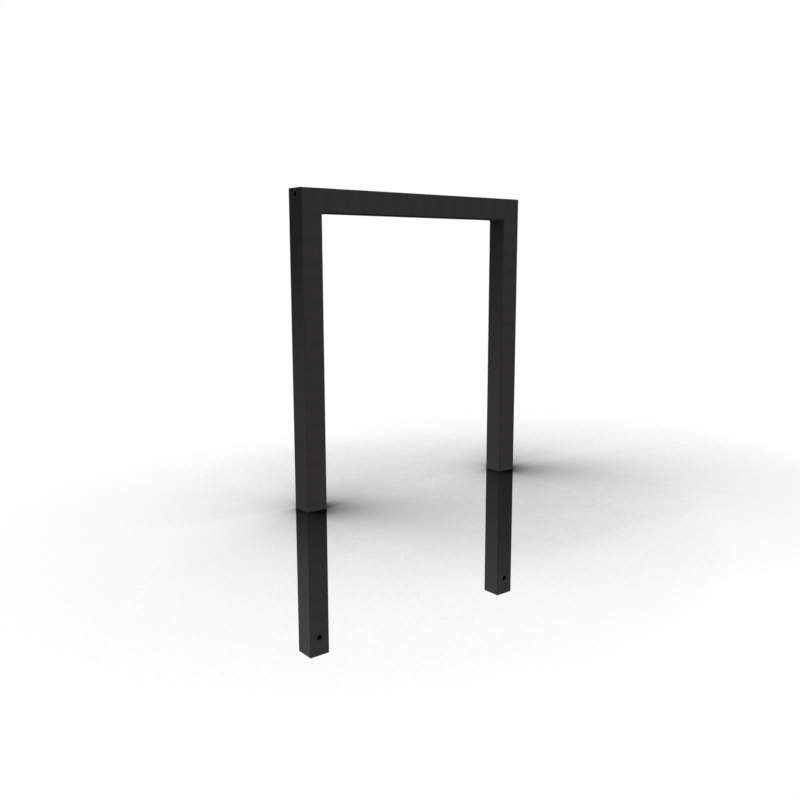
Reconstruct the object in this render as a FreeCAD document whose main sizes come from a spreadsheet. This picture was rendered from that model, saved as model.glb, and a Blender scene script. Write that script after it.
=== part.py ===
"""Hoop bike rack: two square tube posts and a square tube rail, mitred and welded into one frame.

The frame stands in the XZ plane. The origin is at finished ground level, midway between the posts.
The posts run on below ground level as roots, which are set in concrete and held by a bar through each.
"""

import FreeCAD, Part
import math
import os
import re

import Sketcher
from FreeCAD import Placement, Rotation, Vector

DOC = FreeCAD.newDocument("hoop_bike_rack")

# Driving dimensions, in millimetres: cell name, value and what it is
SIZES = (
    ("hoop_width", 750, "overall width, outer face to outer face of the posts"),
    ("height_above_ground", 815, "ground level to the top of the rail"),
    ("root_depth", 400, "ground level to the sawn foot of each post"),
    ("section_side", 60, "side of the square tube"),
    ("wall", 3, "wall of the square tube"),
    ("outer_corner_radius", 3, "outside corner radius of the tube"),
    ("inner_corner_radius", 1, "inside corner radius of the tube"),
    ("seam_width", 1.8, "width of the tube's own lengthways weld seam, inside the bore"),
    ("seam_height", 0.6, "height of that seam above the bore's wall"),
    ("weld_gap", 2, "gap between the two sawn mitre faces, filled by the corner weld"),
    ("weld_root_proud", 0.8, "how far the corner weld stands into the bore"),
    ("bead_leg", 4, "leg of the bead left in the inside corner of the hoop"),
    ("bead_radius", 4.6, "radius of that bead's rounded face"),
    ("anchor_hole_diameter", 16, "hole for the anchor bar, through both walls of the root"),
    ("anchor_hole_rise", 50, "sawn foot to the centre of the anchor hole"),
    ("vent_hole_diameter", 12, "galvanising vent hole in the outer wall of the post"),
    ("vent_hole_drop", 15, "top of the rail to the centre of the vent hole"),
    ("deburr", 0.5, "chamfer round the sawn feet and the drilled holes"),
    ("cut_margin", 6, "how far the mitre cutting profiles run past the tube"),
)
NAMES = [row[0] for row in SIZES]

# Half of the weld gap moves a 45 degree mitre line up or down by this much
MITRE_SHIFT = "weld_gap / sqrt(2)"

# How near two lengths must be, in millimetres, to count as the same
NEAR = 0.01


def make_sheet():
    """The spreadsheet that holds the driving dimensions, one per row."""
    made = DOC.addObject("Spreadsheet::Sheet", "sizes")
    for row, (name, value, note) in enumerate(SIZES, start=1):
        made.set(f"A{row}", name)
        made.set(f"B{row}", str(value))
        made.set(f"C{row}", note)
        made.setAlias(f"B{row}", name)
    DOC.recompute()
    return made


SHEET = make_sheet()


def size(name):
    """The number in one cell of the sheet."""
    return float(getattr(SHEET, name))


def formula(text):
    """Puts the sheet's name in front of each size in an expression."""
    return re.sub(r"[a-z_]+", lambda word: "sizes." + word[0] if word[0] in NAMES else word[0], text)


def negative(text):
    return f"-1 * ({text})"


def mitre_shift():
    """MITRE_SHIFT as a number."""
    return size("weld_gap") / math.sqrt(2)


# Bodies and sketches


def make_body(name):
    made = DOC.addObject("PartDesign::Body", name)
    made.Label = name
    return made


def make_sketch(body, name, plane, lift=None):
    """A sketch on one origin plane of its body; lift moves it along the plane's normal by an expression."""
    sketch = body.newObject("Sketcher::SketchObject", name)
    support = next(item for item in body.Origin.OriginFeatures if item.Role == plane)
    sketch.AttachmentSupport = [(support, "")]
    sketch.MapMode = "FlatFace"
    if lift:
        sketch.setExpression("AttachmentOffset.Base.z", formula(lift))
    return sketch


def drawn_value(sketch, kind, where):
    """What a dimension measures on the geometry as it was drawn."""
    if kind in ("DistanceX", "DistanceY"):
        across = sketch.getPoint(where[2], where[3]) - sketch.getPoint(where[0], where[1])
        return across.x if kind == "DistanceX" else across.y
    line = sketch.Geometry[where[0]]
    if kind == "Distance":
        return line.length()
    return line.Radius * (2 if kind == "Diameter" else 1)


def bind(sketch, kind, *where, to):
    """Adds one dimension to a sketch and ties it to an expression of the sheet's sizes."""
    value = drawn_value(sketch, kind, where)
    index = sketch.addConstraint(Sketcher.Constraint(kind, *where, value))
    sketch.setExpression(f"Constraints[{index}]", formula(to))


def draw_rounded_square(sketch, side, radius, side_text, radius_text):
    """A square with rounded corners, centred on the sketch's origin."""
    half, flat = side / 2, side / 2 - radius
    ends = [
        ((-flat, -half), (flat, -half)),
        ((half, -flat), (half, flat)),
        ((flat, half), (-flat, half)),
        ((-half, flat), (-half, -flat)),
    ]
    centres = [(flat, -flat), (flat, flat), (-flat, flat), (-flat, -flat)]
    up = Vector(0, 0, 1)
    quarter = math.pi / 2
    lines = []
    arcs = []
    for turn in range(4):
        start, end = (Vector(*point, 0) for point in ends[turn])
        lines.append(sketch.addGeometry(Part.LineSegment(start, end)))
        circle = Part.Circle(Vector(*centres[turn], 0), up, radius)
        first = (turn - 1) * quarter
        arcs.append(sketch.addGeometry(Part.ArcOfCircle(circle, first, first + quarter)))
    for turn in range(4):
        sketch.addConstraint(Sketcher.Constraint("Tangent", lines[turn], 2, arcs[turn], 1))
        sketch.addConstraint(Sketcher.Constraint("Tangent", arcs[turn], 2, lines[(turn + 1) % 4], 1))
    for line in lines[0::2]:
        sketch.addConstraint(Sketcher.Constraint("Horizontal", line))
    for line in lines[1::2]:
        sketch.addConstraint(Sketcher.Constraint("Vertical", line))
    for arc in arcs[1:]:
        sketch.addConstraint(Sketcher.Constraint("Equal", arcs[0], arc))
    sketch.addConstraint(Sketcher.Constraint("Symmetric", arcs[0], 3, arcs[2], 3, -1, 1))
    bind(sketch, "Radius", arcs[0], to=radius_text)
    bind(sketch, "DistanceX", lines[3], 1, lines[1], 1, to=side_text)
    bind(sketch, "DistanceY", lines[0], 1, lines[2], 1, to=side_text)


def draw_tube_section(sketch, bore_text="section_side - 2 * wall", bore=None):
    """The outline of the square tube and, inside it, the outline of its bore."""
    side = size("section_side")
    draw_rounded_square(sketch, side, size("outer_corner_radius"), "section_side", "outer_corner_radius")
    inside = side - 2 * size("wall") if bore is None else bore
    draw_rounded_square(sketch, inside, size("inner_corner_radius"), bore_text, "inner_corner_radius")


def draw_corner_triangle(sketch, corner, corner_text, leg, leg_text, toward):
    """A right triangle with equal legs along the sketch's axes.

    It starts at its right-angled corner, and toward gives each leg's way, 1 or -1.
    """
    (x, z), (way_x, way_z) = corner, toward
    points = [Vector(x, z, 0), Vector(x + way_x * leg, z, 0), Vector(x, z + way_z * leg, 0)]
    sides = []
    for turn in range(3):
        sides.append(sketch.addGeometry(Part.LineSegment(points[turn], points[(turn + 1) % 3])))
    for turn in range(3):
        sketch.addConstraint(Sketcher.Constraint("Coincident", sides[turn], 2, sides[(turn + 1) % 3], 1))
    sketch.addConstraint(Sketcher.Constraint("Horizontal", sides[0]))
    sketch.addConstraint(Sketcher.Constraint("Vertical", sides[2]))
    sketch.addConstraint(Sketcher.Constraint("Equal", sides[0], sides[2]))
    bind(sketch, "Distance", sides[0], to=leg_text)
    for kind, value, text in (("DistanceX", x, corner_text[0]), ("DistanceY", z, corner_text[1])):
        if value < 0:
            bind(sketch, kind, sides[0], 1, -1, 1, to=negative(text))
        else:
            bind(sketch, kind, -1, 1, sides[0], 1, to=text)


def draw_circle(sketch, centre, diameter_text, up_text, down=False):
    """A circle on the sketch's upright axis, its centre up_text above the origin or, with down, below it."""
    ring = sketch.addGeometry(Part.Circle(Vector(0, centre, 0), Vector(0, 0, 1), 1.0))
    sketch.addConstraint(Sketcher.Constraint("PointOnObject", ring, 3, -2))
    bind(sketch, "Diameter", ring, to=diameter_text)
    if down:
        bind(sketch, "DistanceY", ring, 3, -1, 1, to=up_text)
    else:
        bind(sketch, "DistanceY", -1, 1, ring, 3, to=up_text)


def pad(body, name, sketch, length_text, both_ways=False):
    """Extrudes a sketch along its plane's normal, or half the length each way."""
    made = body.newObject("PartDesign::Pad", name)
    made.Profile = sketch
    made.SideType = "Symmetric" if both_ways else "One side"
    made.setExpression("Length", formula(length_text))
    DOC.recompute()
    return made


def pocket(body, name, sketch, length_text=None):
    """Cuts a sketch through everything both ways or, given a length, one way from the sketch's plane.

    It stops the build if nothing was cut, because a pocket that points away from the solid is silent.
    """
    before = body.Shape.Volume
    made = body.newObject("PartDesign::Pocket", name)
    made.Profile = sketch
    if length_text:
        made.SideType = "One side"
        made.Type = "Length"
        made.setExpression("Length", formula(length_text))
    else:
        made.SideType = "Symmetric"
        made.Type = "ThroughAll"
    DOC.recompute()
    if body.Shape.Volume > before - NEAR:
        raise RuntimeError(f"{body.Label}: {name} cut nothing")
    return made


def chamfer(body, name, wanted):
    """Breaks every edge of the body's last feature that wanted(edge) picks."""
    base = body.Tip
    edges = [f"Edge{number}" for number, edge in enumerate(base.Shape.Edges, start=1) if wanted(edge)]
    if not edges:
        raise RuntimeError(f"{body.Label}: {name} found no edge")
    made = body.newObject("PartDesign::Chamfer", name)
    made.Base = (base, edges)
    made.setExpression("Size", formula("deburr"))
    DOC.recompute()
    return made


def is_round(edge, diameter):
    """True for a full circle of this diameter."""
    if edge.Curve.TypeId != "Part::GeomCircle" or not edge.isClosed():
        return False
    return abs(edge.Curve.Radius - diameter / 2) < NEAR


# Sub-parts


def make_tube(body, plane, length_text, start=None, both_ways=False):
    """A length of square tube along the plane's normal, with its own weld seam inside the bore."""
    section = make_sketch(body, body.Label + "_section", plane, start)
    draw_tube_section(section)
    pad(body, body.Label + "_tube", section, length_text, both_ways)

    seam = make_sketch(body, body.Label + "_seam_outline", plane, start)
    draw_seam(seam)
    pad(body, body.Label + "_seam", seam, length_text, both_ways)


def draw_seam(sketch):
    """The tube's own weld seam: a low flat ridge on the bore's wall toward +X in the sketch."""
    wall_at = size("section_side") / 2 - size("wall")
    height, half = size("seam_height"), size("seam_width") / 2
    corners = [
        (wall_at - height, -half),
        (wall_at, -half),
        (wall_at, half),
        (wall_at - height, half),
    ]
    sides = []
    for turn in range(4):
        start, end = Vector(*corners[turn], 0), Vector(*corners[(turn + 1) % 4], 0)
        sides.append(sketch.addGeometry(Part.LineSegment(start, end)))
    for turn in range(4):
        sketch.addConstraint(Sketcher.Constraint("Coincident", sides[turn], 2, sides[(turn + 1) % 4], 1))
    sketch.addConstraint(Sketcher.Constraint("Horizontal", sides[0]))
    sketch.addConstraint(Sketcher.Constraint("Horizontal", sides[2]))
    sketch.addConstraint(Sketcher.Constraint("Vertical", sides[3]))
    sketch.addConstraint(Sketcher.Constraint("Symmetric", sides[1], 1, sides[1], 2, -1))
    bind(sketch, "Distance", sides[0], to="seam_height")
    bind(sketch, "Distance", sides[1], to="seam_width")
    bind(sketch, "DistanceX", -1, 1, sides[1], 1, to="section_side / 2 - wall")


def put_at_corner(body, side):
    """Moves a body to the left post's axis for side -1 or, turned half way round, to the right one's."""
    turn = 0 if side < 0 else 180
    body.Placement = Placement(Vector(), Rotation(Vector(0, 0, 1), turn))
    body.setExpression("Placement.Base.x", formula(f"{side} * (hoop_width - section_side) / 2"))


def make_post(name, side):
    """One post with its root: side is -1 for the left post and 1 for the right one.

    In the post's own frame its outer face looks along -X and the hoop lies toward +X.
    """
    body = make_body(name)
    make_tube(body, "XY_Plane", "height_above_ground + root_depth", start="-1 * root_depth")
    saw_post_mitre(body)
    drill_post(body)
    deburr_post(body)
    put_at_corner(body, side)
    return body


def saw_post_mitre(body):
    """Cuts the post's top off at 45 degrees, high on the outside."""
    side, margin = size("section_side"), size("cut_margin")
    mitre = make_sketch(body, body.Label + "_mitre_outline", "XZ_Plane")
    draw_corner_triangle(
        mitre,
        (side / 2 + margin, size("height_above_ground") + margin - mitre_shift()),
        ("section_side / 2 + cut_margin", f"height_above_ground + cut_margin - {MITRE_SHIFT}"),
        side + 2 * margin,
        "section_side + 2 * cut_margin",
        (-1, -1),
    )
    pocket(body, body.Label + "_mitre", mitre)


def drill_post(body):
    """The anchor hole through the front and back walls of the root, and the vent hole in the outer wall."""
    anchor = make_sketch(body, body.Label + "_anchor_outline", "XZ_Plane")
    height = size("anchor_hole_rise") - size("root_depth")
    draw_circle(anchor, height, "anchor_hole_diameter", "root_depth - anchor_hole_rise", down=True)
    pocket(body, body.Label + "_anchor_hole", anchor)

    vent = make_sketch(body, body.Label + "_vent_outline", "YZ_Plane")
    height = size("height_above_ground") - size("vent_hole_drop")
    draw_circle(vent, height, "vent_hole_diameter", "height_above_ground - vent_hole_drop")
    pocket(body, body.Label + "_vent_hole", vent, "section_side / 2 + cut_margin")


def deburr_post(body):
    """Breaks the outer rims of the two holes and of the sawn foot."""
    half = size("section_side") / 2
    foot = -size("root_depth")

    def drilled(edge):
        box = edge.BoundBox
        at_side = is_round(edge, size("anchor_hole_diameter")) and abs(abs(box.YMin) - half) < NEAR
        at_vent = is_round(edge, size("vent_hole_diameter")) and abs(box.XMin + half) < NEAR
        return at_side or at_vent

    def sawn(edge):
        box = edge.BoundBox
        flat = abs(box.ZMin - foot) < NEAR and abs(box.ZMax - foot) < NEAR
        reach = max(abs(box.XMin), abs(box.XMax), abs(box.YMin), abs(box.YMax))
        return flat and abs(reach - half) < NEAR

    chamfer(body, body.Label + "_hole_rims", drilled)
    chamfer(body, body.Label + "_foot_rim", sawn)


def make_rail():
    """The top rail, mitred at both ends, long side up."""
    name = "top_rail"
    body = make_body(name)
    make_tube(body, "YZ_Plane", "hoop_width", both_ways=True)

    mitres = make_sketch(body, name + "_mitre_outlines", "XZ_Plane")
    half, margin = size("section_side") / 2, size("cut_margin")
    end = size("hoop_width") / 2 + margin
    end_text = "hoop_width / 2 + cut_margin"
    for way in (-1, 1):
        draw_corner_triangle(
            mitres,
            (way * end, -half - margin),
            (end_text if way > 0 else negative(end_text), negative("section_side / 2 + cut_margin")),
            2 * half + 2 * margin + mitre_shift(),
            f"section_side + 2 * cut_margin + {MITRE_SHIFT}",
            (-way, 1),
        )
    pocket(body, name + "_mitres", mitres)
    body.setExpression("Placement.Base.z", formula("height_above_ground - section_side / 2"))
    return body


def make_weld(name, side):
    """One corner weld, in the frame of its post.

    It is a ring that fills the gap between the mitres, with a bead in the inside corner of the hoop.
    """
    body = make_body(name)
    make_weld_elbow(body)
    trim_weld(body)

    bead = make_sketch(body, name + "_bead_outline", "XZ_Plane")
    draw_bead(bead)
    pad(body, name + "_bead", bead, "section_side - 2 * outer_corner_radius", both_ways=True)
    put_at_corner(body, side)
    return body


def make_weld_elbow(body):
    """A square elbow along the axes of the post and the rail, as thick as the wall and the weld's root."""
    name = body.Label
    half, margin = size("section_side") / 2, size("cut_margin")
    top = size("height_above_ground")
    start = "height_above_ground - section_side - cut_margin"
    section = make_sketch(body, name + "_section", "XY_Plane", start)
    bore = 2 * half - 2 * size("wall") - 2 * size("weld_root_proud")
    draw_tube_section(section, "section_side - 2 * wall - 2 * weld_root_proud", bore)

    route = make_sketch(body, name + "_route", "XZ_Plane")
    corners = [(0, top - 2 * half - margin), (0, top - half), (half + margin, top - half)]
    legs = []
    for first, second in zip(corners, corners[1:]):
        legs.append(route.addGeometry(Part.LineSegment(Vector(*first, 0), Vector(*second, 0))))
    route.addConstraint(Sketcher.Constraint("Coincident", legs[0], 2, legs[1], 1))
    route.addConstraint(Sketcher.Constraint("Vertical", legs[0]))
    route.addConstraint(Sketcher.Constraint("Horizontal", legs[1]))
    route.addConstraint(Sketcher.Constraint("PointOnObject", legs[0], 1, -2))
    bind(route, "DistanceY", -1, 1, legs[0], 1, to=start)
    bind(route, "Distance", legs[0], to="section_side / 2 + cut_margin")
    bind(route, "Distance", legs[1], to="section_side / 2 + cut_margin")

    elbow = body.newObject("PartDesign::AdditivePipe", name + "_elbow")
    elbow.Profile = section
    elbow.Spine = (route, ["Edge1", "Edge2"])
    elbow.Transition = "Right corner"
    DOC.recompute()


def trim_weld(body):
    """Cuts away all of the elbow but the slice between the sawn mitres, with a triangle on each side."""
    half, margin = size("section_side") / 2, size("cut_margin")
    top = size("height_above_ground")
    trims = make_sketch(body, body.Label + "_trim_outlines", "XZ_Plane")
    reach = 2 * half + 4 * margin
    reach_text = "section_side + 4 * cut_margin"
    out_text = "section_side / 2 + 2 * cut_margin"
    draw_corner_triangle(
        trims,
        (half + 2 * margin, top + 2 * margin + mitre_shift()),
        (out_text, f"height_above_ground + 2 * cut_margin + {MITRE_SHIFT}"),
        reach,
        reach_text,
        (-1, -1),
    )
    draw_corner_triangle(
        trims,
        (-half - 2 * margin, top - 2 * half - 2 * margin - mitre_shift()),
        (negative(out_text), f"height_above_ground - section_side - 2 * cut_margin - {MITRE_SHIFT}"),
        reach,
        reach_text,
        (1, 1),
    )
    pocket(body, body.Label + "_trims", trims)


def draw_bead(sketch):
    """The bead's section: two legs in the inside corner of the hoop and a rounded face."""
    x = size("section_side") / 2
    z = size("height_above_ground") - size("section_side")
    leg = size("bead_leg")
    corner, below, beside = Vector(x, z, 0), Vector(x, z - leg, 0), Vector(x + leg, z, 0)
    down = sketch.addGeometry(Part.LineSegment(corner, below))

    # The arc only has to bulge outwards here, because bead_radius then settles it
    bulge = leg * 2 / 3
    arc = Part.Arc(below, Vector(x + bulge, z - bulge, 0), beside)
    face = sketch.addGeometry(arc)
    back = sketch.addGeometry(Part.LineSegment(beside, corner))
    sketch.addConstraint(Sketcher.Constraint("Coincident", down, 2, face, 1))
    sketch.addConstraint(Sketcher.Constraint("Coincident", face, 2, back, 1))
    sketch.addConstraint(Sketcher.Constraint("Coincident", back, 2, down, 1))
    sketch.addConstraint(Sketcher.Constraint("Vertical", down))
    sketch.addConstraint(Sketcher.Constraint("Horizontal", back))
    sketch.addConstraint(Sketcher.Constraint("Equal", down, back))
    bind(sketch, "Distance", down, to="bead_leg")
    bind(sketch, "Radius", face, to="bead_radius")
    bind(sketch, "DistanceX", -1, 1, down, 1, to="section_side / 2")
    bind(sketch, "DistanceY", -1, 1, down, 1, to="height_above_ground - section_side")


# Checks and files


def check(bodies):
    """Stops the build if any object failed or any sub-part isn't one sound solid."""
    for item in DOC.Objects:
        if "Invalid" in item.State or "Error" in item.State:
            raise RuntimeError(f"{item.Label} failed: {item.State}")
    for body in bodies:
        shape = body.Shape
        if shape.isNull() or not shape.isValid() or len(shape.Solids) != 1:
            raise RuntimeError(f"{body.Label} isn't one sound solid")


def main():
    bodies = [
        make_post("left_post", -1),
        make_post("right_post", 1),
        make_rail(),
        make_weld("left_corner_weld", -1),
        make_weld("right_corner_weld", 1),
    ]
    DOC.recompute()
    check(bodies)
    os.makedirs("parts", exist_ok=True)
    for body in bodies:
        body.Shape.exportStep(f"parts/{body.Label}.step")
        box = body.Shape.BoundBox
        corners = ((box.XMin, box.YMin, box.ZMin), (box.XMax, box.YMax, box.ZMax))
        low, high = (" ".join(f"{value:.1f}" for value in corner) for corner in corners)
        print(f"{body.Label}: {body.Shape.Volume:.0f} mm3, from {low} to {high}")


main()
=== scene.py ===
"""Dresses the hoop bike rack: powder-coated square tube, dressed welds, a ground plane and a studio.

Everything is in metres in the part's own frame: the ground is z = 0, +X runs along the rail and +Z is up.
"""

import math

import bmesh
import bpy
from bpy.props import FloatProperty, FloatVectorProperty, PointerProperty, StringProperty
from mathutils import Matrix, Vector


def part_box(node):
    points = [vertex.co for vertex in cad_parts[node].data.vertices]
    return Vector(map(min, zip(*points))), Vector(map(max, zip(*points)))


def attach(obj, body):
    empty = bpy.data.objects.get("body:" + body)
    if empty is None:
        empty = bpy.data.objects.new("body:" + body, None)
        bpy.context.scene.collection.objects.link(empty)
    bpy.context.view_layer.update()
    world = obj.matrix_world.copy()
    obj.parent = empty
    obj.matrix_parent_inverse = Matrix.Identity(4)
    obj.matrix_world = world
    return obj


bl_info = {
    "name": "Hoop bike rack",
    "version": (1, 0, 0),
    "blender": (4, 5, 0),
    "location": "3D View > Sidebar > Bike rack",
    "description": "Powder-coated square tube hoop bike rack, with its materials and studio",
    "category": "Object",
}

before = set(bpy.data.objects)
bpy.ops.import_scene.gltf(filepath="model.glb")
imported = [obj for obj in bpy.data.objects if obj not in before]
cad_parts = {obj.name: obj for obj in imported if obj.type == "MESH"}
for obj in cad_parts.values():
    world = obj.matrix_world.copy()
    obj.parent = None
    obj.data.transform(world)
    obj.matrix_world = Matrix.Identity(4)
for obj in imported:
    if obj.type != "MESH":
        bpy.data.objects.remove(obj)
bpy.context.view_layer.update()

BODY = "root"
POSTS = ("left_post", "right_post")
RAILS = ("top_rail",)
WELDS = ("left_corner_weld", "right_corner_weld")
SIDES = {"left": -1, "right": 1}
MM = 0.001
WHITE = (1.0, 1.0, 1.0, 1.0)

# Measures read from the frame's solids
POST_LOW, POST_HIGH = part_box("left_post")
RAIL_LOW, RAIL_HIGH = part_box("top_rail")
POST_AXIS_X = abs(POST_LOW[0] + POST_HIGH[0]) / 2
RAIL_AXIS_Z = (RAIL_LOW[2] + RAIL_HIGH[2]) / 2
HALF_SIDE = RAIL_HIGH[1]
FOOT_Z = POST_LOW[2]

# Measures of the tube that its box doesn't show
WALL = 3 * MM
ARRIS_RADIUS = 3 * MM

# How much wider than the bore the zinc's mask is, so that the bore's walls lie inside it
BORE_MARGIN = 0.2 * MM

# Share of its reach up a bore over which the powder hides all of the zinc
FULL_COVER = 0.6

# Noise levels between which one patch of the coat turns into the next
PATCH_EDGES = (0.35, 0.65)

# Where the studio's light changes, as parts of a unit direction along Z, X or Y
DOWN_TO_HORIZON = (-0.8, 0.0)
ACROSS_HORIZON = (-0.05, 0.05)
RIGHT_TO_LEFT = (0.5, -0.9)
AHEAD_TO_LOW = (-0.12, -0.45)
AHEAD_TO_BEHIND = (-0.4, 0.2)
SWEEP_TOP = (-0.12, -0.02)
SWEEP_RIGHT = (-0.78, -0.3)
SWEEP_FRONT = (0.2, -0.4)

# The softbox stands below the ground plane, behind and to the left, and lights the roots
SOFTBOX_PLACE = (-1.0, 1.6, -1.3)
SOFTBOX_TARGET = (0.0, 0.0, -0.3)
SOFTBOX_WIDTH = 1.2


class CoatSettings(bpy.types.PropertyGroup):
    """Looks of the powder coat."""

    colour: StringProperty(name="Colour", description="sRGB hex of the coat", default="#2b292b")
    thin_colour: StringProperty(
        name="Thin colour",
        description="sRGB hex of the coat where it is a little thinner",
        default="#2f2c2e",
    )
    shares: FloatVectorProperty(
        name="Shares",
        description="How much the spray bands, the patches and the grain each count in the coat's tone",
        default=(0.62, 0.15, 0.15),
    )
    roughness: FloatProperty(name="Roughness", description="Of the cured coat", default=0.28, min=0, max=1)
    unevenness: FloatProperty(
        name="Unevenness",
        description="Difference in roughness between one patch and the next",
        default=0.06,
    )
    patch_size: FloatProperty(
        name="Patch size",
        description="Distance between patches of slightly different tone",
        default=0.14,
        unit="LENGTH",
    )
    pass_pitch: FloatProperty(
        name="Pass pitch",
        description="Distance between the bands that the spray gun's overlapping passes left",
        default=0.0515,
        unit="LENGTH",
    )
    post_start: FloatProperty(
        name="Post start",
        description="Height above the ground of a band on the posts, midway between them",
        default=0.053,
        unit="LENGTH",
    )
    band_slope: FloatProperty(
        name="Band slope",
        description="How much a band on the posts climbs to the right, as a share of its length",
        default=0.024,
    )
    rail_start: FloatProperty(
        name="Rail start",
        description="Distance of a band on the rail from the rail's middle",
        default=0.0436,
        unit="LENGTH",
    )
    sway: FloatProperty(
        name="Sway",
        description="How far the passes stray from an even pitch, as a share of it",
        default=0.3,
    )
    sway_size: FloatProperty(
        name="Sway size",
        description="Distance over which a pass strays and returns",
        default=0.08,
        unit="LENGTH",
    )
    peel_size: FloatProperty(
        name="Orange peel",
        description="Distance between the bumps of the coat's orange peel",
        default=0.0022,
        unit="LENGTH",
    )
    line_pitch: FloatProperty(
        name="Draw lines",
        description="Distance between the faint lengthwise lines of the rolled tube",
        default=0.006,
        unit="LENGTH",
    )
    reach: FloatProperty(
        name="Reach into the bore",
        description="How far the powder was carried up the open foot of a post",
        default=0.12,
        unit="LENGTH",
    )


class ZincSettings(bpy.types.PropertyGroup):
    """Looks of the galvanised bore."""

    colour: StringProperty(name="Colour", description="sRGB hex of the weathered zinc", default="#8c9092")
    dull_colour: StringProperty(
        name="Dull colour",
        description="sRGB hex of the duller crystals",
        default="#6f7376",
    )
    spangle: FloatProperty(
        name="Spangle",
        description="Width of a zinc crystal",
        default=0.009,
        unit="LENGTH",
    )
    metallic: FloatProperty(
        name="Metallic",
        description="Below 1 because the zinc has dulled",
        default=0.9,
        min=0,
        max=1,
    )


class WeldSettings(bpy.types.PropertyGroup):
    """Sizes of the ripples on the weld beads."""

    leg: FloatProperty(
        name="Leg",
        description="Leg of the bead in the inside corner",
        default=0.004,
        unit="LENGTH",
    )
    ripple: FloatProperty(
        name="Ripple",
        description="Distance between the ripples of a bead",
        default=0.003,
        unit="LENGTH",
    )
    narrowing: FloatProperty(
        name="Narrowing",
        description="Share of its leg that a ripple loses towards its tail",
        default=0.1,
    )
    crown: FloatProperty(
        name="Crown",
        description="How far a ripple's head stands out, as a share of the leg",
        default=0.05,
    )


class CameraSettings(bpy.types.PropertyGroup):
    """The camera, solved from the straight edges of the rack."""

    place: FloatVectorProperty(
        name="Place",
        description="Where the camera stands",
        default=(-1.4956, -1.8368, 0.6400),
        subtype="TRANSLATION",
        unit="LENGTH",
    )
    yaw: FloatProperty(
        name="Yaw",
        description="From +Y towards +X",
        default=math.radians(38.230),
        subtype="ANGLE",
    )
    pitch: FloatProperty(
        name="Pitch",
        description="Below the horizon",
        default=math.radians(9.333),
        subtype="ANGLE",
    )
    roll: FloatProperty(
        name="Roll",
        description="Clockwise, as the camera sees it",
        default=math.radians(0.117),
        subtype="ANGLE",
    )
    lens: FloatProperty(name="Lens", description="Focal length in mm on a 36 mm sensor", default=38.352)


class StudioSettings(bpy.types.PropertyGroup):
    """The ground plane and the lights."""

    ground_size: FloatProperty(
        name="Ground",
        description="Side of the ground plane",
        default=12.0,
        unit="LENGTH",
    )
    shadow_reach: FloatProperty(
        name="Shadow reach",
        description="How far from the posts the ground still darkens",
        default=1.0,
        unit="LENGTH",
    )
    shadow_depth: FloatProperty(
        name="Shadow depth",
        description="How dark the ground is round the posts",
        default=3.5,
    )
    shadow_spread: FloatProperty(
        name="Shadow spread",
        description="Below 1 the shade fades more slowly with distance",
        default=0.8,
    )
    shadow_lean: FloatVectorProperty(
        name="Shadow lean",
        description="Way to the light that the posts keep from the ground",
        default=(-0.3, 0.25, 0.92),
        subtype="DIRECTION",
    )
    sky: FloatProperty(name="Sky", description="Light from above the horizon", default=2.49)
    left_share: FloatProperty(
        name="Left share",
        description="Light from the left, as a share of the light from the right",
        default=0.313,
    )
    low: FloatProperty(name="Low", description="Light from just below the horizon", default=0.15)
    under: FloatProperty(name="Under", description="Light from straight below", default=0.05)
    front: FloatProperty(name="Front", description="What the coat mirrors of the front", default=0.109)
    front_low: FloatProperty(name="Front low", description="What it mirrors low in front", default=0.292)
    back: FloatProperty(name="Back", description="What it mirrors behind and above", default=0.02)
    sweep: FloatVectorProperty(
        name="Sweep",
        description="What it mirrors of the cool white sweep behind and below",
        default=(0.71, 0.675, 0.795),
        subtype="COLOR",
    )
    softbox: FloatProperty(
        name="Softbox",
        description="Power in watts of the softbox low behind on the left",
        default=1.51,
    )


# Nodes


def linear(hex_colour):
    """An sRGB hex colour as linear red, green, blue and alpha."""
    values = []
    for start in (1, 3, 5):
        level = int(hex_colour[start : start + 2], 16) / 255
        values.append(level / 12.92 if level <= 0.04045 else ((level + 0.055) / 1.055) ** 2.4)
    return (*values, 1.0)


def add(tree, kind, inputs=None, **settings):
    """Adds a node with these settings.

    An input goes by its socket's identifier, and is a value or what to link: a socket, or a node, which
    stands for its first output in use.
    """
    node = tree.nodes.new(kind)
    for name, value in settings.items():
        setattr(node, name, value)
    sockets = {socket.identifier: socket for socket in node.inputs}
    for name, value in (inputs or {}).items():
        if isinstance(value, bpy.types.Node):
            value = next(output for output in value.outputs if output.enabled)
        if isinstance(value, bpy.types.NodeSocket):
            tree.links.new(value, sockets[name])
        else:
            sockets[name].default_value = value
    return node


def between(value, edges, first=0.0, last=1.0):
    """Inputs for a change from first to last while the value goes from one edge to the other."""
    return {"Value": value, "From Min": edges[0], "From Max": edges[1], "To Min": first, "To Max": last}


def empty_tree(owner):
    """The node tree of a material or world, with nothing in it."""
    owner.use_nodes = True
    owner.node_tree.nodes.clear()
    return owner.node_tree


# Finishes


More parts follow.
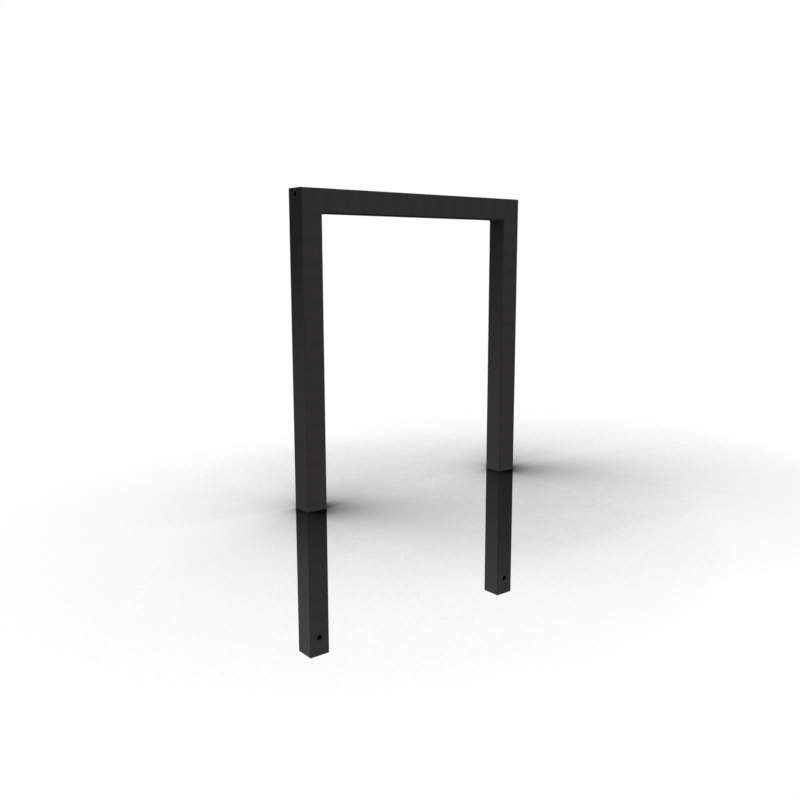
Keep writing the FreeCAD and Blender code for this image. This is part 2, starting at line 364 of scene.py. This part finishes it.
def spray_bands(tree, place, along, start, coat):
    """Soft bands across the tube, one for each pass of the spray gun, with the middle of one at the start.

    They are 1 where the coat is thinnest and 0 where two passes overlap.
    """
    reached = {"Vector": place, "Vector_001": along}
    distance = add(tree, "ShaderNodeVectorMath", reached, operation="DOT_PRODUCT")
    counted = {
        "Value": distance,
        "Value_001": 1 / coat.pass_pitch,
        # The second part takes off what the noise's mean of a half adds below
        "Value_002": -start / coat.pass_pitch - coat.sway / 2,
    }
    passes = add(tree, "ShaderNodeMath", counted, operation="MULTIPLY_ADD")
    hand = add(tree, "ShaderNodeTexNoise", {"Vector": place, "Scale": 1 / coat.sway_size})
    strayed = {"Value": hand, "Value_001": coat.sway, "Value_002": passes}
    passes = add(tree, "ShaderNodeMath", strayed, operation="MULTIPLY_ADD")
    turn = add(tree, "ShaderNodeMath", {"Value": passes, "Value_001": 2 * math.pi}, operation="MULTIPLY")
    wave = add(tree, "ShaderNodeMath", {"Value": turn}, operation="COSINE")
    lifted = {"Value": wave, "Value_001": 0.5, "Value_002": 0.5}
    return add(tree, "ShaderNodeMath", lifted, operation="MULTIPLY_ADD")


def coat_colour(tree, place, bands, patches, coat):
    """The coat's two tones, mixed by its spray bands, its patches and a fine grain."""
    # As coarse as four bumps of the peel, because a finer grain wouldn't show
    grain_size = 4 * coat.peel_size
    grain = add(tree, "ShaderNodeTexNoise", {"Vector": place, "Scale": 1 / grain_size, "Detail": 3.0})
    parts = add(tree, "ShaderNodeCombineXYZ", {"X": bands, "Y": patches, "Z": grain})
    weighed = {"Vector": parts, "Vector_001": coat.shares}
    share = add(tree, "ShaderNodeVectorMath", weighed, operation="DOT_PRODUCT")
    tones = {"Factor_Float": share, "A_Color": linear(coat.colour), "B_Color": linear(coat.thin_colour)}
    return add(tree, "ShaderNodeMix", tones, data_type="RGBA")


def zinc_colour(tree, place, zinc):
    """The bright and dull crystals of hot-dip zinc."""
    crystals = add(tree, "ShaderNodeTexVoronoi", {"Vector": place, "Scale": 1 / zinc.spangle})
    crystal = add(tree, "ShaderNodeSeparateColor", {"Color": crystals.outputs["Color"]})
    tones = {"Factor_Float": crystal, "A_Color": linear(zinc.dull_colour), "B_Color": linear(zinc.colour)}
    return add(tree, "ShaderNodeMix", tones, data_type="RGBA")


def bore_share(tree, place, reach):
    """1 on the walls of the tubes' bores beyond the reach of the powder, and 0 on every outside face."""
    half_bore = HALF_SIDE - WALL + BORE_MARGIN
    axes = add(tree, "ShaderNodeSeparateXYZ", {"Vector": place}).outputs
    out = add(tree, "ShaderNodeMath", {"Value": axes["X"]}, operation="ABSOLUTE")
    near_post = {"Value": out, "Value_001": POST_AXIS_X, "Value_002": half_bore}
    near_rail = {"Value": axes["Z"], "Value_001": RAIL_AXIS_Z, "Value_002": half_bore}
    either = {
        "Value": add(tree, "ShaderNodeMath", near_post, operation="COMPARE"),
        "Value_001": add(tree, "ShaderNodeMath", near_rail, operation="COMPARE"),
    }
    inside = add(tree, "ShaderNodeMath", either, operation="MAXIMUM")

    midway = {"Value": axes["Y"], "Value_001": 0.0, "Value_002": half_bore}
    within_ends = {"Value": out, "Value_001": POST_AXIS_X + half_bore}
    below_top = {"Value": axes["Z"], "Value_001": RAIL_AXIS_Z + half_bore}
    unpowdered = between(axes["Z"], (FOOT_Z + FULL_COVER * reach, FOOT_Z + reach))
    limits = (
        add(tree, "ShaderNodeMath", midway, operation="COMPARE"),
        add(tree, "ShaderNodeMath", within_ends, operation="LESS_THAN"),
        add(tree, "ShaderNodeMath", below_top, operation="LESS_THAN"),
        add(tree, "ShaderNodeMapRange", unpowdered, interpolation_type="SMOOTHSTEP"),
    )
    for limit in limits:
        inside = add(tree, "ShaderNodeMath", {"Value": inside, "Value_001": limit}, operation="MULTIPLY")
    return inside


def coat_bumps(tree, place, along, coat):
    """The normal of the coat's orange peel and, on tube, of the draw lines that show through it.

    The heights are in millimetres from the noise's lowest possible value to its highest. It mostly keeps to
    a third of that, so the peel is about 0.007 mm high and the lines 0.01 mm. The lines stand farther apart
    than real ones, because those wouldn't show.
    """
    peel_height = 0.02
    line_height = 0.03
    # A draw line is about this many times as long as it is wide
    line_stretch = 120
    peel = add(tree, "ShaderNodeTexNoise", {"Vector": place, "Scale": 1 / coat.peel_size, "Detail": 1.0})
    height = add(tree, "ShaderNodeMath", {"Value": peel, "Value_001": peel_height}, operation="MULTIPLY")
    if along is not None:
        # The lines keep to the tube, so the slope of the bands is rounded off
        scale = [1 / (coat.line_pitch * max(1, line_stretch * round(abs(part)))) for part in along]
        drawn = add(tree, "ShaderNodeMapping", {"Vector": place, "Scale": scale})
        lines = add(tree, "ShaderNodeTexNoise", {"Vector": drawn, "Scale": 1.0})
        summed = {"Value": lines, "Value_001": line_height, "Value_002": height}
        height = add(tree, "ShaderNodeMath", summed, operation="MULTIPLY_ADD")
    return add(tree, "ShaderNodeBump", {"Strength": 1.0, "Distance": MM, "Height": height})


def coat_material(name, coat, zinc, along=None, start=0.0):
    """Polyester powder coat, sprayed and oven cured over galvanised steel.

    It looks satin and near-black with a warm cast, has a fine orange peel, and shows the rolled tube's
    lengthwise lines only faintly. The zinc shows bare and crystalline deep in the bores, where the powder
    never reached. along is the direction of the tube, or None on weld metal, and start is where along it
    a band of the spray gun lies.
    """
    material = bpy.data.materials.new(name)
    tree = empty_tree(material)
    place = add(tree, "ShaderNodeTexCoord").outputs["Object"]
    cloud = add(tree, "ShaderNodeTexNoise", {"Vector": place, "Scale": 1 / coat.patch_size})
    patches = add(tree, "ShaderNodeMapRange", between(cloud, PATCH_EDGES), interpolation_type="SMOOTHSTEP")
    bands = patches if along is None else spray_bands(tree, place, along, start, coat)
    paint = coat_colour(tree, place, bands, patches, coat)
    bare = bore_share(tree, place, coat.reach)
    finish = {"Factor_Float": bare, "A_Color": paint, "B_Color": zinc_colour(tree, place, zinc)}
    metallic = {"Value": bare, "Value_001": zinc.metallic}
    uneven = {
        "Value": patches,
        "Value_001": coat.unevenness,
        "Value_002": coat.roughness - coat.unevenness / 2,
    }
    surface = {
        "Base Color": add(tree, "ShaderNodeMix", finish, data_type="RGBA"),
        "Metallic": add(tree, "ShaderNodeMath", metallic, operation="MULTIPLY"),
        "Roughness": add(tree, "ShaderNodeMath", uneven, operation="MULTIPLY_ADD"),
        "IOR": 1.5,
        "Specular IOR Level": 0.4,
        "Normal": coat_bumps(tree, place, along, coat),
    }
    shader = add(tree, "ShaderNodeBsdfPrincipled", surface)
    add(tree, "ShaderNodeOutputMaterial", {"Surface": shader})
    return material


def set_material(names, material):
    """Gives CAD nodes their finished material in the slots that they came with."""
    for name in names:
        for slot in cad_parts[name].material_slots:
            slot.material = material


# Weld beads


def bead_section(leg, bulge):
    """The bead's cross-section, as offsets from the inside corner along the rail (in) and the post (down).

    Its face runs from one leg's end to the other on a curve a little flatter than a quarter circle.
    """
    steps = 8
    flatness = 1.3
    points = [(0.0, 0.0), (0.0, leg)]
    for step in range(1, steps):
        turn = step / steps * math.pi / 2
        out = bulge * math.sin(2 * turn)
        inward = leg * math.sin(turn) ** flatness
        down = leg * math.cos(turn) ** flatness
        points.append((inward + out, down + out))
    points.append((leg, 0.0))
    return points


def bead_rings(side, weld):
    """The bead's cross-sections, from its front end to its back end."""
    corner_x = side * (POST_AXIS_X - HALF_SIDE)
    corner_z = RAIL_LOW[2]
    reach = HALF_SIDE - ARRIS_RADIUS
    ripple_steps = 6
    count = round(2 * reach / weld.ripple) * ripple_steps
    rings = []
    for index in range(count + 1):
        phase = index / ripple_steps % 1.0
        leg = weld.leg * (1.0 - weld.narrowing * phase**2)
        bulge = weld.leg * weld.crown * (1.0 - phase)
        y = -reach + 2 * reach * index / count
        section = bead_section(leg, bulge)
        rings.append([(corner_x - side * inward, y, corner_z - down) for inward, down in section])
    return rings


def make_bead(name, side, weld):
    """A rippled weld bead in one inside corner of the hoop: side is -1 on the left and 1 on the right."""
    mesh = bmesh.new()
    rings = []
    for section in bead_rings(side, weld):
        rings.append([mesh.verts.new(point) for point in section])
    for first, second in zip(rings, rings[1:]):
        for index in range(len(first)):
            after = (index + 1) % len(first)
            mesh.faces.new((first[index], first[after], second[after], second[index]))
    mesh.faces.new(rings[0])
    mesh.faces.new(rings[-1])
    bmesh.ops.recalc_face_normals(mesh, faces=mesh.faces)
    data = bpy.data.meshes.new(name)
    mesh.to_mesh(data)
    mesh.free()
    bead = bpy.data.objects.new(name, data)
    bpy.context.scene.collection.objects.link(bead)
    return bead


class RACK_OT_coat_tubes(bpy.types.Operator):
    """Gives the posts and the rail their powder coat"""

    bl_idname = "rack.coat_tubes"
    bl_label = "Coat the tubes"

    def execute(self, context):
        scene = context.scene
        coat = scene.rack_coat
        zinc = scene.rack_zinc
        # The bands on the posts slope a little, as the gun was held
        up = (-coat.band_slope, 0, 1)
        across = (1, 0, 0)
        upright = coat_material("powder_coated_steel_post", coat, zinc, up, coat.post_start)
        level = coat_material("powder_coated_steel_rail", coat, zinc, across, coat.rail_start)
        set_material(POSTS, upright)
        set_material(RAILS, level)
        return {"FINISHED"}


class RACK_OT_finish_welds(bpy.types.Operator):
    """Coats the dressed corner welds and lays the rippled beads in the inside corners"""

    bl_idname = "rack.finish_welds"
    bl_label = "Finish the welds"

    def execute(self, context):
        scene = context.scene
        material = coat_material("powder_coated_weld_metal", scene.rack_coat, scene.rack_zinc)
        set_material(WELDS, material)
        for name, side in SIDES.items():
            bead = make_bead(f"{name}_weld_bead", side, scene.rack_weld)
            bead.data.materials.append(material)
            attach(bead, BODY)
        return {"FINISHED"}


# Stage


def make_camera(settings):
    """The camera at the photograph's place. Before it is turned it looks down with its top towards +Y."""
    data = bpy.data.cameras.new("camera")
    data.lens = settings.lens
    camera = bpy.data.objects.new("camera", data)
    yaw = Matrix.Rotation(-settings.yaw, 4, "Z")
    tilt = Matrix.Rotation(math.pi / 2 - settings.pitch, 4, "X")
    roll = Matrix.Rotation(-settings.roll, 4, "Z")
    camera.matrix_world = Matrix.Translation(settings.place) @ yaw @ tilt @ roll
    bpy.context.scene.collection.objects.link(camera)
    bpy.context.scene.camera = camera


def ground_material(studio):
    """A clear film at ground level with the posts' shadow painted round them, as shade worked out from
    ambient occlusion.

    The roots below it stay in sight, with the same painted shade over them near the ground. Every ray but
    the camera's passes through it unchanged.
    """
    material = bpy.data.materials.new("pale_ground_shadow")
    tree = empty_tree(material)
    lean_x, lean_y, lean_z = studio.shadow_lean
    to_light = add(tree, "ShaderNodeCombineXYZ", {"X": lean_x, "Y": lean_y, "Z": lean_z})
    spread = {"Distance": studio.shadow_reach, "Normal": to_light}
    openness = add(tree, "ShaderNodeAmbientOcclusion", spread, samples=32).outputs["AO"]

    # The film lets exp(-depth * (-log openness) ** spread) of the light through
    log = add(tree, "ShaderNodeMath", {"Value": openness, "Value_001": math.e}, operation="LOGARITHM")
    shut = add(tree, "ShaderNodeMath", {"Value": log, "Value_001": -1.0}, operation="MULTIPLY")
    power = {"Value": shut, "Value_001": studio.shadow_spread}
    faded = add(tree, "ShaderNodeMath", power, operation="POWER")
    deep = {"Value": faded, "Value_001": -studio.shadow_depth}
    depth = add(tree, "ShaderNodeMath", deep, operation="MULTIPLY")
    # Painted shade: this darkening is the film's colour for the camera, not light kept off by the posts
    shade = add(tree, "ShaderNodeMath", {"Value": depth}, operation="EXPONENT")

    film = {
        "Fac": add(tree, "ShaderNodeLightPath").outputs["Is Camera Ray"],
        "Shader": add(tree, "ShaderNodeBsdfTransparent", {"Color": WHITE}),
        "Shader_001": add(tree, "ShaderNodeBsdfTransparent", {"Color": shade}),
    }
    add(tree, "ShaderNodeOutputMaterial", {"Surface": add(tree, "ShaderNodeMixShader", film)})
    return material


def make_ground(studio):
    """The ground plane, which is stage and no part of the rack."""
    half = studio.ground_size / 2
    corners = [(-half, -half, 0), (half, -half, 0), (half, half, 0), (-half, half, 0)]
    data = bpy.data.meshes.new("ground")
    data.from_pydata(corners, [], [(0, 1, 2, 3)])
    data.materials.append(ground_material(studio))
    ground = bpy.data.objects.new("ground", data)
    bpy.context.scene.collection.objects.link(ground)


def smooth_levels(tree, way, level, changes):
    """A level of light that changes smoothly with direction, by one change after another.

    Each change has its axis, its edges on that axis and the level beyond the second edge.
    """
    for axis, edges, beyond in changes:
        change = between(way[axis], edges, level, beyond)
        level = add(tree, "ShaderNodeMapRange", change, interpolation_type="SMOOTHSTEP")
    return level


def soft_light(tree, way, studio):
    """The even light that falls on the rack: bright above, dim below and weaker from the left."""
    rising = (
        ("Z", DOWN_TO_HORIZON, studio.low),
        ("Z", ACROSS_HORIZON, studio.sky),
    )
    level = smooth_levels(tree, way, studio.under, rising)
    share = smooth_levels(tree, way, 1.0, [("X", RIGHT_TO_LEFT, studio.left_share)])
    return add(tree, "ShaderNodeMath", {"Value": level, "Value_001": share}, operation="MULTIPLY")


def mirrored_room(tree, way, studio):
    """What the coat mirrors: a dim room, and the white sweep low behind on the left."""
    round_room = (
        ("Z", AHEAD_TO_LOW, studio.front_low),
        ("Y", AHEAD_TO_BEHIND, studio.back),
    )
    room = smooth_levels(tree, way, studio.front, round_room)
    off_sweep = (
        ("Z", SWEEP_TOP, 0.0),
        ("X", SWEEP_RIGHT, 0.0),
        ("Y", SWEEP_FRONT, 0.0),
    )
    on_sweep = smooth_levels(tree, way, 1.0, off_sweep)
    seen = {"Factor_Float": on_sweep, "A_Color": room, "B_Color": (*studio.sweep, 1.0)}
    return add(tree, "ShaderNodeMix", seen, data_type="RGBA")


def make_world(studio):
    """White where the camera looks, soft light on the rack, and a dim room in its reflections."""
    world = bpy.data.worlds.new("studio")
    bpy.context.scene.world = world
    # Without this the world would be sampled as a lamp, whose rays are neither glossy nor the camera's
    world.cycles.sampling_method = "NONE"
    tree = empty_tree(world)
    direction = add(tree, "ShaderNodeTexCoord").outputs["Generated"]
    way = add(tree, "ShaderNodeSeparateXYZ", {"Vector": direction}).outputs
    ray = add(tree, "ShaderNodeLightPath").outputs
    by_gloss = {
        "Factor_Float": ray["Is Glossy Ray"],
        "A_Color": soft_light(tree, way, studio),
        "B_Color": mirrored_room(tree, way, studio),
    }
    direct = {"Value": ray["Is Camera Ray"], "Value_001": ray["Is Transmission Ray"]}
    by_sight = {
        "Factor_Float": add(tree, "ShaderNodeMath", direct, operation="MAXIMUM"),
        "A_Color": add(tree, "ShaderNodeMix", by_gloss, data_type="RGBA"),
        "B_Color": WHITE,
    }
    colour = add(tree, "ShaderNodeMix", by_sight, data_type="RGBA")
    background = add(tree, "ShaderNodeBackground", {"Color": colour, "Strength": 1.0})
    add(tree, "ShaderNodeOutputWorld", {"Surface": background})


def make_softbox(power):
    """A square lamp, turned to the roots and hidden from the camera."""
    data = bpy.data.lights.new("softbox", "AREA")
    data.shape = "SQUARE"
    data.size = SOFTBOX_WIDTH
    data.energy = power
    softbox = bpy.data.objects.new("softbox", data)
    softbox.location = SOFTBOX_PLACE
    softbox.visible_camera = False
    aim = Vector(SOFTBOX_TARGET) - Vector(SOFTBOX_PLACE)
    softbox.rotation_euler = aim.to_track_quat("-Z", "Y").to_euler()
    bpy.context.scene.collection.objects.link(softbox)


class RACK_OT_set_stage(bpy.types.Operator):
    """Sets up the ground plane, the studio light and the camera"""

    bl_idname = "rack.set_stage"
    bl_label = "Set the stage"

    def execute(self, context):
        studio = context.scene.rack_studio
        context.scene.view_settings.view_transform = "Standard"
        make_ground(studio)
        make_world(studio)
        make_softbox(studio.softbox)
        make_camera(context.scene.rack_camera)
        return {"FINISHED"}


class RACK_PT_panel(bpy.types.Panel):
    """Lists the rack's settings and steps"""

    bl_idname = "RACK_PT_panel"
    bl_label = "Hoop bike rack"
    bl_space_type = "VIEW_3D"
    bl_region_type = "UI"
    bl_category = "Bike rack"

    def draw(self, context):
        for name in SETTINGS:
            group = getattr(context.scene, name)
            box = self.layout.box()
            box.label(text=group.bl_rna.name)
            for key in group.__annotations__:
                box.prop(group, key)
        for operator in STEPS:
            self.layout.operator(operator.bl_idname)


SETTINGS = {
    "rack_coat": CoatSettings,
    "rack_zinc": ZincSettings,
    "rack_weld": WeldSettings,
    "rack_camera": CameraSettings,
    "rack_studio": StudioSettings,
}
STEPS = (RACK_OT_coat_tubes, RACK_OT_finish_welds, RACK_OT_set_stage)


def register():
    for name, group in SETTINGS.items():
        bpy.utils.register_class(group)
        setattr(bpy.types.Scene, name, PointerProperty(type=group))
    for item in (*STEPS, RACK_PT_panel):
        bpy.utils.register_class(item)


def unregister():
    for item in (RACK_PT_panel, *reversed(STEPS)):
        bpy.utils.unregister_class(item)
    for name, group in reversed(SETTINGS.items()):
        delattr(bpy.types.Scene, name)
        bpy.utils.unregister_class(group)


def main():
    register()
    bpy.ops.rack.coat_tubes()
    bpy.ops.rack.finish_welds()
    bpy.ops.rack.set_stage()


if __name__ == "__main__":
    main()
